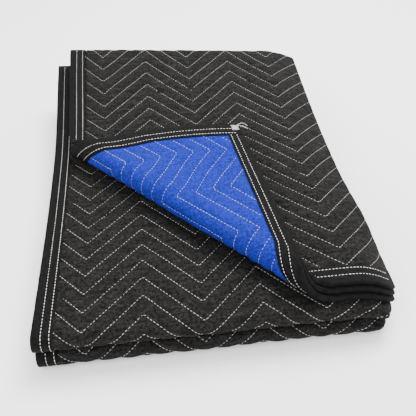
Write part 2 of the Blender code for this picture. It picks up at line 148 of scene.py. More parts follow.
topCreases = [
    ((-0.055, 0.172), 0.022, 0.0045, 12, -0.0020), ((-0.030, 0.180), 0.016, 0.0045, -20, 0.0012),
    ((0.015, 0.176), 0.018, 0.0045, 8, -0.0018), ((0.060, 0.060), 0.020, 0.0050, 40, -0.0012),
    ((0.150, -0.040), 0.022, 0.0050, -35, -0.0013), ((0.120, 0.190), 0.020, 0.0050, 20, -0.0012),
    ((0.170, -0.160), 0.020, 0.0050, 60, -0.0012), ((-0.150, 0.200), 0.018, 0.0045, -30, -0.0014),
]
lowerCreases = [
    ((-0.180, -0.050), 0.020, 0.0045, 10, -0.0020), ((-0.160, -0.062), 0.018, 0.0045, -14, 0.0013),
    ((-0.150, -0.085), 0.016, 0.0045, 22, -0.0014), ((-0.118, -0.215), 0.020, 0.0045, 84, -0.0017),
    ((-0.060, -0.150), 0.020, 0.0050, 30, -0.0012), ((0.010, -0.230), 0.022, 0.0050, -25, -0.0013),
    ((0.155, -0.292), 0.016, 0.0050, 70, -0.0022), ((0.185, -0.297), 0.014, 0.0050, 100, -0.0022),
    ((0.205, -0.290), 0.012, 0.0045, 80, -0.0018), ((-0.175, -0.150), 0.020, 0.0050, -40, -0.0013),
]


# padding between the faces isn't even: height, size and seed of each unevenness, and the creases
uneven = {
    "ply": {"bumps": ((0.0004, 0.011, 3.0), (0.0007, 0.045, 7.0)), "creases": topCreases},
    "fold": {"bumps": ((0.0005, 0.012, 11.0), (0.0011, 0.05, 17.0)), "creases": lowerCreases},
}


def padding(part, x, y):
    total = 0.0
    for height, size, seed in uneven[part]["bumps"]:
        total = total + height * grain(x, y, size, seed)
    return total + creases(x, y, uneven[part]["creases"])


# Making a mesh from points

def newMesh(name, points, faces, uv, marks, materials):
    mesh = bpy.data.meshes.new(name)
    mesh.from_pydata(points.tolist(), [], faces)
    for material in materials:
        mesh.materials.append(material)
    mesh.polygons.foreach_set("material_index", np.array(marks, dtype=np.int32))
    mesh.polygons.foreach_set("use_smooth", np.ones(len(faces), dtype=bool))
    layer = mesh.uv_layers.new(name="cloth")
    corner = np.zeros(len(mesh.loops), dtype=np.int32)
    mesh.loops.foreach_get("vertex_index", corner)
    layer.data.foreach_set("uv", uv[corner].astype(np.float32).ravel())
    mesh.update()
    mesh.calc_loop_triangles()
    corners = np.zeros(len(mesh.loop_triangles) * 3, dtype=np.int32)
    mesh.loop_triangles.foreach_get("vertices", corners)
    triangle = points[corners].reshape(-1, 3, 3)
    volume = np.einsum("ij,ij->i", triangle[:, 0], np.cross(triangle[:, 1], triangle[:, 2])).sum()
    if volume < 0.0:
        mesh.flip_normals()
    piece = bpy.data.objects.new(name, mesh)
    bpy.context.scene.collection.objects.link(piece)
    return piece


def sheetSolid(name, upper, under, uvUpper, uvUnder, materials, plain=False):
    # a thin solid between two grids of points, closed round its rim
    # where plain holds, the faces underneath keep the upper side's material
    rows, columns = upper.shape[:2]
    count = rows * columns
    index = np.arange(count).reshape(rows, columns)
    a, b, c, d = (part.ravel() for part in (index[:-1, :-1], index[1:, :-1], index[1:, 1:], index[:-1, 1:]))
    faces = np.stack([a, b, c, d], axis=1).tolist()
    marks = [0] * len(faces)
    faces += (np.stack([d, c, b, a], axis=1) + count).tolist()
    marks += np.where(np.broadcast_to(plain, (rows - 1, columns - 1)), 0, 1).ravel().tolist()
    rim = list(index[0, :]) + list(index[1:, -1]) + list(index[-1, -2::-1]) + list(index[-2:0:-1, 0])
    for near, far in zip(rim, rim[1:] + rim[:1]):
        faces.append([int(near), int(far), int(far) + count, int(near) + count])
        marks.append(0)
    points = np.concatenate([upper.reshape(-1, 3), under.reshape(-1, 3)])
    uv = np.concatenate([uvUpper.reshape(-1, 2), uvUnder.reshape(-1, 2)])
    return newMesh(name, points, faces, uv, marks, materials)


def ringSolid(name, rings, uv, materials):
    # a solid through closed rings of points, capped at both ends
    rows, columns = rings.shape[:2]
    index = np.arange(rows * columns).reshape(rows, columns)
    after = np.roll(index, -1, axis=1)
    faces = np.stack([index[:-1].ravel(), after[:-1].ravel(), after[1:].ravel(), index[1:].ravel()], axis=1)
    faces = faces.tolist()
    marks = [0] * len(faces)
    faces.append([int(value) for value in index[0][::-1]])
    faces.append([int(value) for value in index[-1]])
    marks += [0, 0]
    return newMesh(name, rings.reshape(-1, 3), faces, uv.reshape(-1, 2), marks, materials)


# Materials

def newMaterial(name):
    material = bpy.data.materials.new(name)
    material.use_nodes = True
    return material, material.node_tree.nodes["Principled BSDF"]


def addNode(tree, kind, values):
    node = tree.nodes.new(kind)
    for socket, value in values.items():
        node.inputs[socket].default_value = value
    return node


def addTones(tree, factor, dark, light, darkAt, lightAt):
    # a dark and a light tone, mixed by a factor
    tones = tree.nodes.new("ShaderNodeValToRGB")
    for stop, at, colour in zip(tones.color_ramp.elements, (darkAt, lightAt), (dark, light)):
        stop.position = at
        stop.color = colour
    tree.links.new(factor, tones.inputs["Fac"])
    return tones


def clothMaterial(name, look):
    # felted face: soft mottling, pale and dark fibres, fine wrinkles with painted shade in their hollows, a
    # little fuzz
    material, shader = newMaterial(name)
    tree = material.node_tree
    link = tree.links.new
    place = tree.nodes.new("ShaderNodeUVMap")
    place.uv_map = "cloth"
    blotches = addNode(tree, "ShaderNodeTexNoise",
                       {"Scale": look["blotchScale"], "Detail": 6.0, "Roughness": 0.62})
    link(place.outputs["UV"], blotches.inputs["Vector"])
    tones = addTones(tree, blotches.outputs["Fac"], look["dark"], look["light"], darkAt=0.38, lightAt=0.64)

    fibres = addNode(tree, "ShaderNodeTexNoise",
                     {"Scale": look["fibreScale"], "Detail": 4.0, "Distortion": 1.4})
    picked = addNode(tree, "ShaderNodeMapRange",
                     {"From Min": 0.56, "From Max": 0.74, "To Max": look["fibreShare"]})
    mix = tree.nodes.new("ShaderNodeMix")
    mix.data_type = "RGBA"
    mix.inputs["B"].default_value = look["fibre"]
    link(place.outputs["UV"], fibres.inputs["Vector"])
    link(fibres.outputs["Fac"], picked.inputs["Value"])
    link(picked.outputs["Result"], mix.inputs["Factor"])
    link(tones.outputs["Color"], mix.inputs["A"])

    stretch = addNode(tree, "ShaderNodeMapping", {"Scale": look["wrinkleStretch"]})
    wrinkles = addNode(tree, "ShaderNodeTexNoise",
                       {"Scale": look["wrinkleScale"], "Detail": 3.0, "Distortion": 0.8})
    # painted shade: the colour is darkened in the wrinkles' hollows, down to the look's given share at the
    # deepest
    paintedShade = addNode(tree, "ShaderNodeMapRange",
                      {"From Min": 0.30, "From Max": 0.66, "To Min": look["hollowShade"]})
    shaded = tree.nodes.new("ShaderNodeVectorMath")
    shaded.operation = "SCALE"
    link(place.outputs["UV"], stretch.inputs["Vector"])
    link(stretch.outputs["Vector"], wrinkles.inputs["Vector"])
    link(wrinkles.outputs["Fac"], paintedShade.inputs["Value"])
    link(mix.outputs["Result"], shaded.inputs["Vector"])
    link(paintedShade.outputs["Result"], shaded.inputs["Scale"])
    link(shaded.outputs["Vector"], shader.inputs["Base Color"])

    rumpled = addNode(tree, "ShaderNodeBump", {"Strength": look["wrinkleDepth"], "Distance": 0.0030})
    napped = addNode(tree, "ShaderNodeBump", {"Strength": look["bump"], "Distance": 0.0006})
    link(wrinkles.outputs["Fac"], rumpled.inputs["Height"])
    link(rumpled.outputs["Normal"], napped.inputs["Normal"])
    link(fibres.outputs["Fac"], napped.inputs["Height"])
    link(napped.outputs["Normal"], shader.inputs["Normal"])
    shader.inputs["Roughness"].default_value = look["roughness"]
    shader.inputs["Specular IOR Level"].default_value = 0.10
    return material


def tapeMaterial(name, look):
    # close ribbed weave of the edge tape
    material, shader = newMaterial(name)
    tree = material.node_tree
    link = tree.links.new
    place = tree.nodes.new("ShaderNodeUVMap")
    place.uv_map = "cloth"
    ribs = addNode(tree, "ShaderNodeTexWave", {"Scale": look["ribScale"], "Distortion": 0.6})
    ribs.bands_direction = "X"
    patches = addNode(tree, "ShaderNodeTexNoise", {"Scale": look["patchScale"], "Detail": 5.0})
    ribbed = addNode(tree, "ShaderNodeBump", {"Strength": look["bump"], "Distance": 0.0003})
    link(place.outputs["UV"], ribs.inputs["Vector"])
    link(place.outputs["UV"], patches.inputs["Vector"])
    tones = addTones(tree, patches.outputs["Fac"], look["dark"], look["light"], darkAt=0.30, lightAt=0.72)
    link(tones.outputs["Color"], shader.inputs["Base Color"])
    link(ribs.outputs["Fac"], ribbed.inputs["Height"])
    link(ribbed.outputs["Normal"], shader.inputs["Normal"])
    shader.inputs["Roughness"].default_value = look["roughness"]
    shader.inputs["Specular IOR Level"].default_value = 0.08
    return material


def threadMaterial(name, colour):
    # twisted thread, with painted shade between its strands as random darker patches
    material, shader = newMaterial(name)
    tree = material.node_tree
    place = tree.nodes.new("ShaderNodeTexCoord")
    strandShade = addNode(tree, "ShaderNodeTexNoise", {"Scale": 420.0, "Detail": 3.0})
    tree.links.new(place.outputs["Object"], strandShade.inputs["Vector"])
    light = list(colour) + [1.0]
    # painted shade between the strands: the dark tone is the thread's colour at 0.62
    dark = [channel * 0.62 for channel in colour] + [1.0]
    tones = addTones(tree, strandShade.outputs["Fac"], dark, light, darkAt=0.25, lightAt=0.75)
    tree.links.new(tones.outputs["Color"], shader.inputs["Base Color"])
    shader.inputs["Roughness"].default_value = 0.6
    shader.inputs["Sheen Weight"].default_value = 0.2
    return material


# each felt's look also sets how dark the painted shade in its wrinkles' hollows gets
charcoal = clothMaterial("charcoalFelt", {
    "dark": (0.0014, 0.0013, 0.0012, 1.0), "light": (0.0160, 0.0153, 0.0142, 1.0), "blotchScale": 230.0,
    "fibre": (0.080, 0.077, 0.072, 1.0), "fibreShare": 0.6, "fibreScale": 620.0, "bump": 0.6,
    "wrinkleScale": 90.0, "wrinkleStretch": (0.45, 1.5, 1.0), "wrinkleDepth": 1.0, "hollowShade": 0.36,
    "roughness": 0.92})
blue = clothMaterial("blueFelt", {
    "dark": (0.003, 0.008, 0.150, 1.0), "light": (0.0115, 0.021, 0.300, 1.0), "blotchScale": 300.0,
    "fibre": (0.04, 0.07, 0.47, 1.0), "fibreShare": 0.5, "fibreScale": 620.0, "bump": 0.5,
    "wrinkleScale": 90.0, "wrinkleStretch": (1.5, 0.5, 1.0), "wrinkleDepth": 0.8, "hollowShade": 0.74,
    "roughness": 0.9})
tape = tapeMaterial("blackTape", {
    "dark": (0.0008, 0.0008, 0.0009, 1.0), "light": (0.0056, 0.0054, 0.0051, 1.0), "patchScale": 210.0,
    "ribScale": 260.0, "bump": 0.5, "roughness": 0.8})
paleThread = threadMaterial("paleThread", (0.70, 0.68, 0.64))
greyThread = threadMaterial("greyThread", (0.44, 0.43, 0.41))
print("materials made")


# The camera, floor and light

def makeCamera():
    view = {"place": (-0.0530, -0.6384, 0.6388), "pitch": 43.845, "heading": -6.853, "lens": 45.55,
            "sensor": 36.0}
    data = bpy.data.cameras.new("camera")
    data.lens = view["lens"]
    data.sensor_width = view["sensor"]
    camera = bpy.data.objects.new("camera", data)
    camera.location = view["place"]
    camera.rotation_euler = (math.radians(view["pitch"]), 0.0, math.radians(view["heading"]))
    bpy.context.scene.collection.objects.link(camera)
    bpy.context.scene.camera = camera


def makeFloor():
    look = {"size": 12.0, "colour": (0.93, 0.93, 0.93, 1.0), "roughness": 0.9}
    bpy.ops.mesh.primitive_plane_add(size=look["size"])
    floor = bpy.context.object
    floor.name = "floor"
    material, shader = newMaterial("paleFloor")
    shader.inputs["Base Color"].default_value = look["colour"]
    shader.inputs["Roughness"].default_value = look["roughness"]
    floor.data.materials.append(material)


def addLight(name, light, aim):
    data = bpy.data.lights.new(name, "AREA")
    data.shape = "DISK"
    data.size = light["size"]
    data.energy = light["power"]
    lamp = bpy.data.objects.new(name, data)
    lamp.location = light["place"]
    lamp.rotation_euler = (Vector(light["place"]) - Vector(aim)).to_track_quat("Z", "Y").to_euler()
    bpy.context.scene.collection.objects.link(lamp)


def makeLight():
    lights = {
        "world": 2.2, "aim": (0.0, 0.0, 0.05),
        "key": {"place": (0.4, 0.55, 1.6), "size": 1.0, "power": 61.0},
        "fill": {"place": (-1.2, -0.9, 1.2), "size": 1.4, "power": 17.0},
    }
    world = bpy.data.worlds.new("studio")
    world.use_nodes = True
    backdrop = world.node_tree.nodes["Background"]
    backdrop.inputs["Color"].default_value = (1.0, 1.0, 1.0, 1.0)
    backdrop.inputs["Strength"].default_value = lights["world"]
    bpy.context.scene.world = world
    addLight("keyLight", lights["key"], lights["aim"])
    addLight("fillLight", lights["fill"], lights["aim"])


makeCamera()
makeFloor()
makeLight()
print("camera, floor and light made")


# Where a point of cloth lies

flap = {
    "lean": 0.176, "lift": 0.0045, "liftReach": 0.16,
    "bow": 0.010, "bowReach": 0.06, "bowFrom": -0.15, "bowTo": 0.10,
}
backRoll = {"radius": 0.0165, "flatter": 0.65, "easeFrom": 0.030}


def turnPoint(ply, along, past, out):
    # along runs with the corner's fold, past is the cloth beyond it, out is away from the ply's middle
    axisX = along * diagonal
    axisY = stack["axisSum"] - along * diagonal
    angle = math.pi * np.clip(past / ply["turn"], 0.0, 1.0)
    reach = (ply["radius"] + out) * np.sin(angle) * diagonal
    turnZ = stack["axisHeight"] - (ply["radius"] + out) * np.cos(angle)

    # past the bend the corner lies back over the stack, a little lifted, with a bowed edge
    rest = np.maximum(past - ply["turn"], 0.0)
    restX = rest * (diagonal - flap["lean"])
    lift = flap["lift"] * smooth(rest / flap["liftReach"])
    share = between(axisX + restX, flap["bowFrom"], flap["bowTo"])
    bow = flap["bow"] * 4.0 * share * (1.0 - share) * smooth(rest / flap["bowReach"])

    flat = past <= 0.0
    x = np.where(flat, axisX - past * diagonal, axisX - reach + restX)
    y = np.where(flat, axisY - past * diagonal, axisY - reach + rest * diagonal + bow)
    z = np.where(flat, ply["height"] - out, turnZ + lift)
    return x, y, z


def plyPoint(ply, u, v, out):
    # the flat ply, its turned corner, and the roll over the back of the stack
    along = (u - v + stack["axisSum"]) / root2
    past = (stack["axisSum"] - u - v) / root2
    x, y, z = turnPoint(ply, along, past, out)
    radius = backRoll["radius"]
    angle = np.maximum(v - ply["back"], 0.0) / radius
    rolled = v > ply["back"]
    y = np.where(rolled, ply["back"] + (radius - out) * np.sin(angle), y)
    z = np.where(rolled, ply["height"] - radius + (radius - out) * np.cos(angle), z)
    return x, y, z


def clothEnd(ply):
    # how far back the ply's cloth goes, with its roll over the back
    return ply["back"] + backRoll["radius"] * ply["roll"]


def backEase(ply, v):
    # the quilting is pulled flatter where the ply turns down over the back
    start = ply["back"] - backRoll["easeFrom"]
    return 1.0 - backRoll["flatter"] * smooth((v - start) / backRoll["easeFrom"])


foldEnd = {"limit": 0.985, "inward": 0.7}
folds = {
    "upper": {"middle": stack["upperMiddle"], "front": stack["upperFront"], "shift": 0.0, "step": 0.0030},
    "lower": {"middle": stack["lowerMiddle"], "front": stack["lowerFront"], "shift": -0.047, "step": 0.0040},
}


def rightShare(x):
    # how far a fold keeps its height as it closes at the right
    start = stack["right"] - stack["foldHalf"]
    inside = np.clip((x - start) / stack["foldHalf"], 0.0, foldEnd["limit"])
    return np.sqrt(1.0 - inside ** 2)


def foldPoint(fold, x, w, out):
    # a thick fold's skin by its length w: round the back, over the top, round the front, and underneath
    share = rightShare(x)
    half = (stack["foldHalf"] + out) * share
    inward = stack["foldHalf"] * (1.0 - share) * foldEnd["inward"]
    front = fold["front"] + stack["foldHalf"]
    back = stack["back"] - stack["foldHalf"]
    angle = np.clip((front - w) / stack["foldHalf"], 0.0, math.pi)
    behind = np.clip((w - back) / stack["foldHalf"], 0.0, math.pi)
    below = np.maximum(front - stack["foldHalf"] * math.pi - w, 0.0)
    y = np.where(w >= front, np.maximum(w, front + inward), front - half * np.sin(angle) + below)
    y = np.where((angle > 0.0) & (below <= 0.0), y + inward, y)
    y = np.where(w > back, back - inward + half * np.sin(behind), np.minimum(y, back - inward))
    z = fold["middle"] + half * np.cos(angle + behind)
    return x, y, z


def spread(low, high, step):
    return np.linspace(low, high, max(2, int(round(abs(high - low) / step)) + 1))


def rounded(right, half):
    # columns that close a right edge
    angles = np.array([0.35, 0.7, 1.0, 1.25, 1.45])
    return right - half * (1.0 - np.sin(angles))


# The plies on top

plyEnd = {"limit": 0.98, "flat": 3, "round": 0.42}
plyLook = {
    "hemStepX": 0.007, "hemStepY": 0.005, "shoulder": 0.0008, "thinnest": 0.0005, "plainUnder": 0.8,
    "charcoalRight": 0.024, "charcoalHem": 0.012, "underShift": 0.37,
}
plyGrids = {
    "A": {"fine": 0.0027, "coarse": 0.0027, "fineX": 0.20, "fineY": 0.20, "quiltedUnder": False},
    "B": {"fine": 0.006, "coarse": 0.012, "fineX": 0.10, "fineY": 0.06, "quiltedUnder": False},
    "C": {"fine": 0.0027, "coarse": 0.010, "fineX": 0.125, "fineY": 0.06, "quiltedUnder": True},
}


def closing(u):
    # share of its thickness that a ply keeps at its round right edge
    inside = np.clip((u - (stack["right"] - stack["plyHalf"])) / stack["plyHalf"], 0.0, plyEnd["limit"])
    return (1.0 - inside ** plyEnd["flat"]) ** plyEnd["round"]


def inFromHem(edge, hemStep, fineTo, end, grid):
    # stations from a bound edge inward: the hem, then fine, then coarse
    hemEnd = edge + stack["hemWidth"]
    return np.concatenate([spread(edge, hemEnd, hemStep),
                           spread(hemEnd + plyLook["shoulder"], fineTo, grid["fine"]),
                           spread(fineTo + grid["coarse"], end, grid["coarse"])])


def makePly(name, ply, grid):
    left, right, front = stack["topLeft"], stack["right"], ply["front"]
    thin, half = stack["hemHalf"], stack["plyHalf"]
    columns = np.concatenate([inFromHem(left, plyLook["hemStepX"], grid["fineX"], right - half, grid),
                              rounded(right, half)])
    rows = inFromHem(front, plyLook["hemStepY"], grid["fineY"], clothEnd(ply), grid)
    u, v = np.meshgrid(columns, rows, indexing="ij")
    hemEnd = stack["hemWidth"] + plyLook["shoulder"] / 2.0
    inHem = (u < left + hemEnd) | (v < front + hemEnd)

    share = closing(u)
    body = np.where(inHem, thin, half) * share
    relief = np.where(inHem, 0.0, sunk(u, v, quilting["topValley"], quilting["topRow"]))
    relief = relief * share * backEase(ply, v)
    bumps = padding("ply", u, v)
    charcoalOut = np.maximum(body - relief + np.where(inHem, 0.0, bumps) * share, plyLook["thinnest"])
    if grid["quiltedUnder"]:
        blueOut = np.maximum(body - relief + bumps * (body > thin), plyLook["thinnest"])
    else:
        blueOut = body * plyLook["plainUnder"]
    charcoalSide = settle(*plyPoint(ply, u, v, -charcoalOut))
    blueSide = settle(*plyPoint(ply, u, v, blueOut))

    # near the edges the reverse stays charcoal, so that no blue shows past the tapes
    hem = plyLook["charcoalHem"]
    plain = (u > right - plyLook["charcoalRight"]) | (u < left + hem) | (v < front + hem)
    uv = np.stack([u, v], axis=-1)
    return sheetSolid(name, charcoalSide, blueSide, uv, uv + plyLook["underShift"], [charcoal, blue],
                      plain[1:, 1:])


plyPieces = {}
for letter, ply in plies.items():
    plyPieces[letter] = makePly("ply" + letter, ply, plyGrids[letter])
print("plies made")


# The two thick folds below

foldLook = {
    "inset": 0.0245, "frontStep": 0.0022, "backStep": 0.0024, "underStep": 0.02, "flatFrom": 0.86,
}


def makeFold(name, fold):
    front = fold["front"] + stack["foldHalf"]
    back = stack["back"] - stack["foldHalf"]
    around = stack["foldHalf"] * math.pi
    columns = np.concatenate([spread(stack["left"] + foldLook["inset"], stack["right"] - stack["foldHalf"],
                                     fold["step"]),
                              rounded(stack["right"], stack["foldHalf"])])
    under = front - around
    path = np.concatenate([spread(back, front, fold["step"]),
                           spread(front, under, foldLook["frontStep"])[1:],
                           spread(under, under - (back - front), foldLook["underStep"])[1:],
                           spread(back + around, back, foldLook["backStep"])[1:-1]])
    x, w = np.meshgrid(columns, path, indexing="ij")
    share = rightShare(x)
    relief = sunk(x, w + fold["shift"], quilting["lowerValley"], quilting["lowerRow"]) * share
    bumps = padding("fold", x, w) * share
    flatFrom = around * foldLook["flatFrom"]
    underneath = (w < front - flatFrom) | (w > back + flatFrom)
    px, py, pz = foldPoint(fold, x, w, np.where(underneath, 0.0, bumps - relief))
    return ringSolid(name, settle(px, py, np.maximum(pz, 0.0)), np.stack([x, w], axis=-1), [charcoal])


foldPieces = {}
for key, fold in folds.items():
    foldPieces[key] = makeFold(key + "Fold", fold)
print("folds made")


# Layers that show at the left edge of the thick folds

wrap = {
    "back": 0.2860, "depth": 0.034, "step": 0.012, "bendStep": 0.0018, "acrossStep": 0.006,
    "underShift": 0.2, "radii": {"Outer": stack["outerRadius"], "Inner": stack["innerRadius"]},
}


def wrapPoint(fold, radius, w, out):
    # a layer that runs over, round the front and back: w is measured from the back along the top
    front = fold["front"] + stack["foldHalf"]
    straight = wrap["back"] - front
    angle = np.clip((w - straight) / radius, 0.0, math.pi)
    below = np.maximum(w - straight - math.pi * radius, 0.0)
    reach = radius + out
    y = np.where(w < straight, wrap["back"] - w, front - reach * np.sin(angle) + below)
    z = fold["middle"] + reach * np.cos(angle)
    return y, z


def wrapPath(fold, radius):
    straight = wrap["back"] - (fold["front"] + stack["foldHalf"])
    bendEnd = straight + math.pi * radius
    return np.concatenate([spread(0.0, straight, wrap["step"]),
                           spread(straight, bendEnd, wrap["bendStep"])[1:],
                           spread(bendEnd, 2.0 * straight + math.pi * radius, wrap["step"])[1:]])


def makeLayer(name, fold, radius):
    columns = spread(stack["left"], stack["left"] + wrap["depth"], wrap["acrossStep"])
    x, w = np.meshgrid(columns, wrapPath(fold, radius), indexing="ij")
    sides = []
    for out in (stack["hemHalf"], -stack["hemHalf"]):
        sides.append(settle(x, *wrapPoint(fold, radius, w, out)))
    uv = np.stack([x, w], axis=-1)
    return sheetSolid(name, sides[0], sides[1], uv, uv + wrap["underShift"], [charcoal, charcoal])


layerPieces = {}
for key, fold in folds.items():
    for place, radius in wrap["radii"].items():
        layerPieces[key + place] = makeLayer(key + place + "Layer", fold, radius)
print("side layers made")


# The edge binding: tape folded over each hem

binding = {
    "width": 0.0260, "thickness": 0.0010, "gap": 0.0006, "corner": 0.0007, "bevel": 0.0004,
    "crown": 0.0001, "crownAt": (0.009, 0.018), "innerAt": 0.012,
    "rows": (0.0108, 0.0213), "dip": 0.00045, "dipWidth": 0.0016, "outside": 0.0030,
    "step": 0.0045, "turnSteps": 14.0, "endSteps": (0.0001, 0.0003, 0.0007, 0.0013, 0.0024),
    "cornerGap": 0.001, "squareBefore": 0.03, "squareAfter": 0.045, "easeAfter": 0.04,
    "ripple": 0.0004, "rippleLength": 0.018, "rippleAcross": 0.2, "rippleInside": 0.6,
}
tapeInner = stack["hemHalf"] + binding["gap"]
tapeOuter = tapeInner + binding["thickness"]


def bindingSection():
    # inward from the hem's edge, and out from the ply's middle, with round outer corners
    edge = -binding["gap"]
    wall = edge - binding["thickness"]
    lip = binding["width"]
    bevel = binding["bevel"]
    points = [(lip - bevel, tapeOuter)]
    for at in binding["crownAt"]:
        points.append((lip - at, tapeOuter + binding["crown"]))
    for angle in np.linspace(0.0, math.pi / 2.0, 4):
        points.append((wall + binding["corner"] * (1.0 - math.sin(angle)),
                       tapeOuter - binding["corner"] * (1.0 - math.cos(angle))))
    points += [(x, -y) for x, y in reversed(points)]
    middle = edge + binding["innerAt"]
    points += [(lip, -tapeOuter + bevel), (lip, -tapeInner), (middle, -tapeInner), (edge, -tapeInner),
               (edge, tapeInner), (middle, tapeInner), (lip, tapeInner), (lip, tapeOuter - bevel)]
    return np.array(points)


def sewnIn(inward, out):
    # the tape's outer side draws in along its two rows of stitching
    dip = np.zeros_like(inward)
    for row in binding["rows"]:
        dip += binding["dip"] * np.exp(-((inward - row) / binding["dipWidth"]) ** 2)
    return out - np.sign(out) * dip * (np.abs(out) > binding["outside"])


def rippleAt(place, inward, seed):
    return binding["ripple"] * grain(place, inward * binding["rippleAcross"], binding["rippleLength"], seed)


def turnedEnd(ply, side):
    # where a tape ends on the turned corner: the front one stops short of the side one
    last = (stack["axisSum"] - ply["front"] - stack["topLeft"]) / root2
    if side == "Front":
        last -= (binding["width"] + binding["cornerGap"]) / root2
    return last


def turnedStations(ply, side):
    # where the tape's sections stand, from the back or the right to the turned corner
    if side == "Side":
        longest = (clothEnd(ply) - (stack["axisSum"] - stack["topLeft"])) / root2
    else:
        longest = (stack["right"] - (stack["axisSum"] - ply["front"])) / root2
    flat = -spread(0.0, longest, binding["step"])[::-1]
    if side == "Front":
        flat = np.concatenate([flat[0] + np.array(binding["endSteps"]), flat[1:]])
    turned = spread(0.0, ply["turn"], ply["turn"] / binding["turnSteps"])[1:]
    free = spread(ply["turn"], turnedEnd(ply, side), binding["step"])[1:]
    return np.concatenate([flat, turned, free])


def hemPlace(ply, side, place, inward, skew):
    # cloth coordinates of a point of the hem; skew 1 keeps a section in line with the turn
    past = place - inward / root2 * (1.0 - skew)
    if side == "Side":
        along = (stack["topLeft"] + inward) * root2 + past
    else:
        along = (stack["axisSum"] - ply["front"] - inward) * root2 - past
    u = (along - past) / root2
    v = stack["axisSum"] - (along + past) / root2
    return u, v


def skewAt(ply, place):
    # 1 in the turn, easing to square sections on each side of it
    before = smooth((place + binding["squareBefore"]) / binding["squareBefore"])
    after = smooth((ply["turn"] + binding["squareAfter"] - place) / binding["easeAfter"])
    return np.minimum(before, after)


def makeTurnedBinding(name, ply, side):
    section = bindingSection()
    place, index = np.meshgrid(turnedStations(ply, side), np.arange(len(section)), indexing="ij")
    inward = section[index, 0]
    out = sewnIn(inward, section[index, 1])
    shift = rippleAt(place, inward, 23.0)
    moved = inward + np.where(inward < 0.0, shift, shift * binding["rippleInside"])
    u, v = hemPlace(ply, side, place, moved, skewAt(ply, place))
    rings = settle(*plyPoint(ply, u, v, out * closing(u)))
    return ringSolid(name, rings, np.stack([place, inward], axis=-1), [tape])


def makeFoldBinding(name, fold, radius):
    section = bindingSection()
    place, index = np.meshgrid(wrapPath(fold, radius), np.arange(len(section)), indexing="ij")
    inward = section[index, 0]
    moved = inward + rippleAt(place, inward, 29.0)
    y, z = wrapPoint(fold, radius, place, sewnIn(inward, section[index, 1]))
    rings = settle(stack["left"] + moved, y, z)
    return ringSolid(name, rings, np.stack([place, inward], axis=-1), [tape])


bindingPieces = {}
for letter, ply in plies.items():
    for side in ("Side", "Front"):
        bindingPieces[letter + side] = makeTurnedBinding("binding" + letter + side, ply, side)
for key, fold in folds.items():
    for place, radius in wrap["radii"].items():
        bindingPieces[key + place] = makeFoldBinding("binding" + key.capitalize() + place, fold, radius)
print("bindings made")


# Stitching: a Geometry Nodes tree lays one short thread after another along each sewn line

beadLook = {"tilt": 0.10, "shortest": 0.86, "longest": 1.10, "segments": 5, "rings": 4}


def stitchTree():
    tree = bpy.data.node_groups.new("stitchesAlongLines", "GeometryNodeTree")
    face = tree.interface
    face.new_socket("Geometry", in_out="INPUT", socket_type="NodeSocketGeometry")
    for name, value in (("Pitch", 0.005), ("Thread Length", 0.0036), ("Thread Width", 0.0011)):
        socket = face.new_socket(name, in_out="INPUT", socket_type="NodeSocketFloat")
        socket.default_value = value
    seed = face.new_socket("Seed", in_out="INPUT", socket_type="NodeSocketInt")
    seed.default_value = 5
    face.new_socket("Material", in_out="INPUT", socket_type="NodeSocketMaterial")
    face.new_socket("Geometry", in_out="OUTPUT", socket_type="NodeSocketGeometry")
    add = tree.nodes.new
    start = add("NodeGroupInput")
    end = add("NodeGroupOutput")
    resample = add("GeometryNodeResampleCurve")
    resample.mode = "LENGTH"
    tangent = add("GeometryNodeInputTangent")
    turn = add("FunctionNodeAlignRotationToVector")
    turn.axis = "Z"
    wobble = add("FunctionNodeRandomValue")
    wobble.data_type = "FLOAT_VECTOR"
    wobble.inputs["Min"].default_value = (-beadLook["tilt"], -beadLook["tilt"], 0.0)
    wobble.inputs["Max"].default_value = (beadLook["tilt"], beadLook["tilt"], 0.0)
    angle = add("FunctionNodeEulerToRotation")
    both = add("FunctionNodeRotateRotation")
    both.rotation_space = "LOCAL"
    stretch = add("FunctionNodeRandomValue")
    stretch.data_type = "FLOAT"
    stretch.inputs["Min"].default_value = beadLook["shortest"]
    stretch.inputs["Max"].default_value = beadLook["longest"]
    bead = add("GeometryNodeMeshUVSphere")
    bead.inputs["Segments"].default_value = beadLook["segments"]
    bead.inputs["Rings"].default_value = beadLook["rings"]
    bead.inputs["Radius"].default_value = 0.5
    size = add("ShaderNodeCombineXYZ")
    shape = add("GeometryNodeTransform")
    place = add("GeometryNodeInstanceOnPoints")
    realize = add("GeometryNodeRealizeInstances")
    paint = add("GeometryNodeSetMaterial")
    link = tree.links.new
    link(start.outputs["Geometry"], resample.inputs["Curve"])
    link(start.outputs["Pitch"], resample.inputs["Length"])
    link(tangent.outputs["Tangent"], turn.inputs["Vector"])
    link(start.outputs["Seed"], wobble.inputs["Seed"])
    link(start.outputs["Seed"], stretch.inputs["Seed"])
    link(wobble.outputs["Value"], angle.inputs["Euler"])
    link(turn.outputs["Rotation"], both.inputs["Rotation"])
    link(angle.outputs["Rotation"], both.inputs["Rotate By"])
    link(start.outputs["Thread Width"], size.inputs["X"])
    link(start.outputs["Thread Width"], size.inputs["Y"])
    link(start.outputs["Thread Length"], size.inputs["Z"])
    link(bead.outputs["Mesh"], shape.inputs["Geometry"])
    link(size.outputs["Vector"], shape.inputs["Scale"])
    link(resample.outputs["Curve"], place.inputs["Points"])
    link(shape.outputs["Geometry"], place.inputs["Instance"])
    link(both.outputs["Rotation"], place.inputs["Rotation"])
    link([socket for socket in stretch.outputs if socket.enabled][0], place.inputs["Scale"])
    link(place.outputs["Instances"], realize.inputs["Geometry"])
    link(realize.outputs["Geometry"], paint.inputs["Geometry"])
    link(start.outputs["Material"], paint.inputs["Material"])
    link(paint.outputs["Geometry"], end.inputs["Geometry"])
    return tree


stitches = stitchTree()


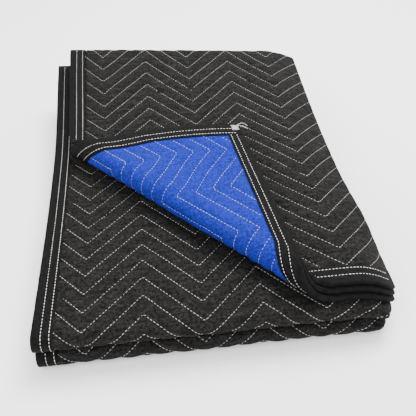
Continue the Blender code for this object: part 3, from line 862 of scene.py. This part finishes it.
def sewLines(name, lines, look):
    curve = bpy.data.curves.new(name + "Lines", "CURVE")
    curve.dimensions = "3D"
    for line in lines:
        spline = curve.splines.new("POLY")
        spline.points.add(len(line) - 1)
        flat = np.concatenate([line, np.ones((len(line), 1))], axis=1)
        spline.points.foreach_set("co", flat.ravel())
    guide = bpy.data.objects.new(name + "Lines", curve)
    bpy.context.scene.collection.objects.link(guide)
    step = guide.modifiers.new("stitches", "NODES")
    step.node_group = stitches
    for item in stitches.interface.items_tree:
        if item.in_out == "INPUT" and item.name in look:
            step[item.identifier] = look[item.name]
    graph = bpy.context.evaluated_depsgraph_get()
    mesh = bpy.data.meshes.new_from_object(guide.evaluated_get(graph))
    mesh.name = name
    mesh.polygons.foreach_set("use_smooth", np.ones(len(mesh.polygons), dtype=bool))
    piece = bpy.data.objects.new(name, mesh)
    bpy.context.scene.collection.objects.link(piece)
    bpy.data.objects.remove(guide)
    print(name, len(mesh.polygons), "faces")
    return piece


quiltThread = {
    "Pitch": 0.0052, "Thread Length": 0.0039, "Thread Width": 0.0008, "Seed": 5, "Material": greyThread,
}
tapeThread = {
    "Pitch": 0.0047, "Thread Length": 0.0038, "Thread Width": 0.0010, "Seed": 9, "Material": paleThread,
}
tackThread = {
    "Pitch": 0.0016, "Thread Length": 0.0026, "Thread Width": 0.0008, "Seed": 3, "Material": paleThread,
}
quiltRow = {
    "step": 0.0022, "lift": 0.0005, "hem": stack["hemWidth"] - 0.001, "plyRight": 0.2265,
    "foldRight": 0.2180, "afterTurn": 0.001, "beforeTurn": 0.004, "coveredX": 0.04, "coveredY": -0.01,
    "around": 2.75, "pastBend": 0.004, "pastTurn": 0.02,
}


def cutLine(points, keep):
    # the stretches of a line where keep holds
    lines, current = [], []
    for point, held in zip(points, keep):
        if held:
            current.append(point)
        elif current:
            lines.append(np.array(current))
            current = []
    if current:
        lines.append(np.array(current))
    return [line for line in lines if len(line) > 2]


def quiltRows(valley, row, low, high, left, right):
    first = math.floor((low - row - quilting["step"]) / quilting["pitch"])
    last = math.ceil((high - row) / quilting["pitch"])
    u = spread(left, right, quiltRow["step"])
    for index in range(first, last + 1):
        yield u, row + index * quilting["pitch"] + zigzag(u, valley)


def sewPly(name, ply, bluePart):
    # rows on the blue side past the turn, or on the charcoal side before it
    left = stack["topLeft"] + quiltRow["hem"]
    high = clothEnd(ply)
    lines = []
    for u, v in quiltRows(quilting["topValley"], quilting["topRow"], ply["front"], high, left,
                          quiltRow["plyRight"]):
        past = (stack["axisSum"] - u - v) / root2
        away = stack["plyHalf"] - quilting["depth"] * backEase(ply, v) + quiltRow["lift"]
        away = away + padding("ply", u, v)
        inside = (v > ply["front"] + quiltRow["hem"]) & (v < high)
        if bluePart:
            keep = inside & (past > quiltRow["afterTurn"])
            out = away
        else:
            covered = (v < quiltRow["coveredY"]) & (u < quiltRow["coveredX"])
            keep = inside & (past < -quiltRow["beforeTurn"]) & ~covered
            out = -away
        lines += cutLine(settle(*plyPoint(ply, u, v, out)), keep)
    return sewLines(name, lines, quiltThread)


def sewFold(name, fold, topShows):
    # rows round the front and the back, and on top where the turned corner leaves the fold bare
    front = fold["front"] + stack["foldHalf"]
    back = stack["back"] - stack["foldHalf"]
    lowest = front - stack["foldHalf"] * quiltRow["around"]
    highest = back + stack["foldHalf"] * quiltRow["around"]
    lines = []
    for x, w in quiltRows(quilting["lowerValley"], quilting["lowerRow"] - fold["shift"], lowest, highest,
                          stack["left"] + quiltRow["hem"], quiltRow["foldRight"]):
        seen = (w < front + quiltRow["pastBend"]) | (w > back + quiltRow["pastBend"])
        if topShows:
            seen = seen | (x + w < stack["axisSum"] + quiltRow["pastTurn"])
        keep = (w > lowest) & (w < highest) & seen
        out = padding("fold", x, w) - quilting["depth"] + quiltRow["lift"]
        lines += cutLine(settle(*foldPoint(fold, x, w, out)), keep)
    return sewLines(name, lines, quiltThread)


tapeRow = {"face": tapeOuter - 0.0001, "cornerGap": 0.008, "skipRight": 6, "aboveFloor": 0.003}


def sewBindings(name):
    lines = []
    for ply in plies.values():
        for side in ("Side", "Front"):
            stations = turnedStations(ply, side)
            if side == "Side":
                stations = stations[stations < turnedEnd(ply, side) - tapeRow["cornerGap"]]
            else:
                stations = stations[tapeRow["skipRight"]:]
            for inward in binding["rows"]:
                u, v = hemPlace(ply, side, stations, np.full_like(stations, inward), skewAt(ply, stations))
                for out in (-tapeRow["face"], tapeRow["face"]):
                    lines.append(settle(*plyPoint(ply, u, v, np.full_like(stations, out))))
    return sewLines(name, lines, tapeThread)


def sewFoldBindings(name):
    radius = stack["outerRadius"]
    lines = []
    for fold in folds.values():
        for inward in binding["rows"]:
            y, z = wrapPoint(fold, radius, wrapPath(fold, radius), tapeRow["face"])
            points = settle(np.full_like(y, stack["left"] + inward), y, z)
            lines += cutLine(points, z > tapeRow["aboveFloor"])
    return sewLines(name, lines, tapeThread)


tack = {
    "inward": 0.0085, "reach": 0.0052, "passes": 5, "apart": 0.0019, "uneven": 0.12, "lift": 0.0004,
    "sway": 2.3, "slant": 0.35, "crossSlant": 0.25, "points": 5,
    "ends": ((0.005, 0.002), (-0.004, 0.001)), "endPoints": 9, "endLength": 0.017, "endFrom": 0.006,
    "endSag": 0.006, "endCurl": 2.0, "endArch": 3.1,
}


def sewCorner(name):
    # a dense tack across the turned corner, with two loose thread ends
    ply = plies["C"]
    face = tapeOuter + tack["lift"]
    middleU = stack["topLeft"] + tack["inward"]
    middleV = ply["front"] + tack["inward"]
    lines = []
    for index in range(tack["passes"]):
        aside = (index - (tack["passes"] - 1) / 2.0) * tack["apart"]
        reach = tack["reach"] * (1.0 + tack["uneven"] * math.sin(tack["sway"] * index))
        along = np.linspace(-reach, reach, tack["points"])
        out = np.full_like(along, face)
        lines.append(settle(*plyPoint(ply, middleU + along, middleV + aside + tack["slant"] * along, out)))
        lines.append(settle(*plyPoint(ply, middleU + aside - tack["crossSlant"] * along, middleV + along,
                                      out + tack["lift"])))
    start = [np.array(value) for value in (middleU - tack["endFrom"], middleV - tack["endFrom"], face)]
    corner = settle(*plyPoint(ply, *start))
    share = np.linspace(0.0, 1.0, tack["endPoints"])
    for bend, rise in tack["ends"]:
        sideways = bend * np.sin(tack["endCurl"] * share)
        upward = rise * np.sin(tack["endArch"] * share) - tack["endSag"] * share ** 2
        lines.append(corner + np.stack([share * tack["endLength"], sideways, upward], axis=-1))
    return sewLines(name, lines, tackThread)


stitchPieces = {
    "top": sewPly("topQuilting", plies["A"], False),
    "flap": sewPly("cornerQuilting", plies["C"], True),
    "upper": sewFold("upperQuilting", folds["upper"], True),
    "lower": sewFold("lowerQuilting", folds["lower"], False),
    "plies": sewBindings("plyBindingStitching"),
    "sides": sewFoldBindings("sideBindingStitching"),
    "tack": sewCorner("cornerTack"),
}
print("stitching sewn")


# Hiding the model parts that the pieces stand for, and hanging every piece from the root body

# the first five letters of a side piece's key name its fold
for letter, piece in plyPieces.items():
    onIt = [bindingPieces[letter + "Side"], bindingPieces[letter + "Front"]]
    if letter == "A":
        onIt += [stitchPieces["top"], stitchPieces["plies"]]
    if letter == "C":
        onIt += [stitchPieces["flap"], stitchPieces["tack"]]
for key, piece in layerPieces.items():
    onIt = [bindingPieces[key]]
    if key == "upperOuter":
        onIt += [stitchPieces["sides"]]
for piece in list(plyPieces.values()) + list(layerPieces.values()) + list(foldPieces.values()):
    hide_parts("blanket_cloth")
    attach(piece, "root")
for key, piece in bindingPieces.items():
    if key[0] in "ABC":
        node = "binding_ply_" + key[0].lower() + "_" + key[1:].lower()
    else:
        node = "binding_" + key[:5] + "_" + key[5:].lower()
    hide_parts(node)
    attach(piece, "root")
for piece in stitchPieces.values():
    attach(piece, "root")
